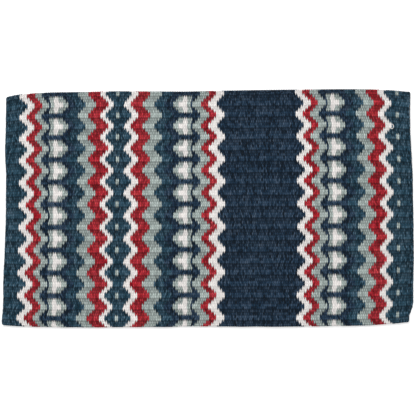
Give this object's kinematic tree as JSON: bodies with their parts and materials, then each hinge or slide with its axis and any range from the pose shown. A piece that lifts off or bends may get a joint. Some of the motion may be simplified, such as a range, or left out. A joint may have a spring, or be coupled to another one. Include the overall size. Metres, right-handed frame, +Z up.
{
  "type": "saddle blanket",
  "caption": "Handwoven wool saddle blanket with zigzag lines and stepped squares, lying folded along its spine; the upper half opens out flat.",
  "frame": {"origin": "under the middle of the folded blanket, on the surface that it lies on", "axes": "+X along the warps, from the left hem to the right hem as pictured; +Y from the side edges towards the spine fold; +Z up"},
  "size_m": [0.864, 0.4984, 0.0123],
  "materials": {
    "teal_wool": "matt wool weft",
    "navy_wool": "matt wool weft",
    "white_wool": "matt wool weft",
    "red_wool": "matt wool weft",
    "sage_wool": "matt wool weft"
  },
  "bodies": {
    "lower_half": {"lower_01_teal": "teal_wool", "lower_02_white": "white_wool", "lower_03_red": "red_wool", "lower_04_sage": "sage_wool", "lower_05_navy": "navy_wool", "lower_06_sage": "sage_wool", "lower_07_red": "red_wool", "lower_08_white": "white_wool", "lower_09_teal": "teal_wool", "lower_10_white": "white_wool", "lower_11_red": "red_wool", "lower_12_sage": "sage_wool", "lower_13_navy": "navy_wool", "lower_14_sage": "sage_wool", "lower_15_red": "red_wool", "lower_16_white": "white_wool", "lower_17_navy": "navy_wool", "lower_18_white": "white_wool", "lower_19_red": "red_wool", "lower_20_sage": "sage_wool", "lower_21_navy": "navy_wool", "lower_22_sage": "sage_wool", "lower_23_red": "red_wool", "lower_24_white": "white_wool", "lower_25_teal": "teal_wool", "lower_squares_1": "sage_wool", "lower_squares_2": "sage_wool", "lower_squares_3": "sage_wool"},
    "upper_half": {"upper_01_teal": "teal_wool", "upper_02_white": "white_wool", "upper_03_red": "red_wool", "upper_04_sage": "sage_wool", "upper_05_navy": "navy_wool", "upper_06_sage": "sage_wool", "upper_07_red": "red_wool", "upper_08_white": "white_wool", "upper_09_teal": "teal_wool", "upper_10_white": "white_wool", "upper_11_red": "red_wool", "upper_12_sage": "sage_wool", "upper_13_navy": "navy_wool", "upper_14_sage": "sage_wool", "upper_15_red": "red_wool", "upper_16_white": "white_wool", "upper_17_navy": "navy_wool", "upper_18_white": "white_wool", "upper_19_red": "red_wool", "upper_20_sage": "sage_wool", "upper_21_navy": "navy_wool", "upper_22_sage": "sage_wool", "upper_23_red": "red_wool", "upper_24_white": "white_wool", "upper_25_teal": "teal_wool", "upper_squares_1": "sage_wool", "upper_squares_2": "sage_wool", "upper_squares_3": "sage_wool"}
  },
  "joints": [
    {"name": "spine_fold", "type": "hinge", "parent": "lower_half", "child": "upper_half", "pos_m": [0, 0.24302, 0.00615], "axis": [-1, 0, 0], "range_deg": [0, 180]}
  ]
}
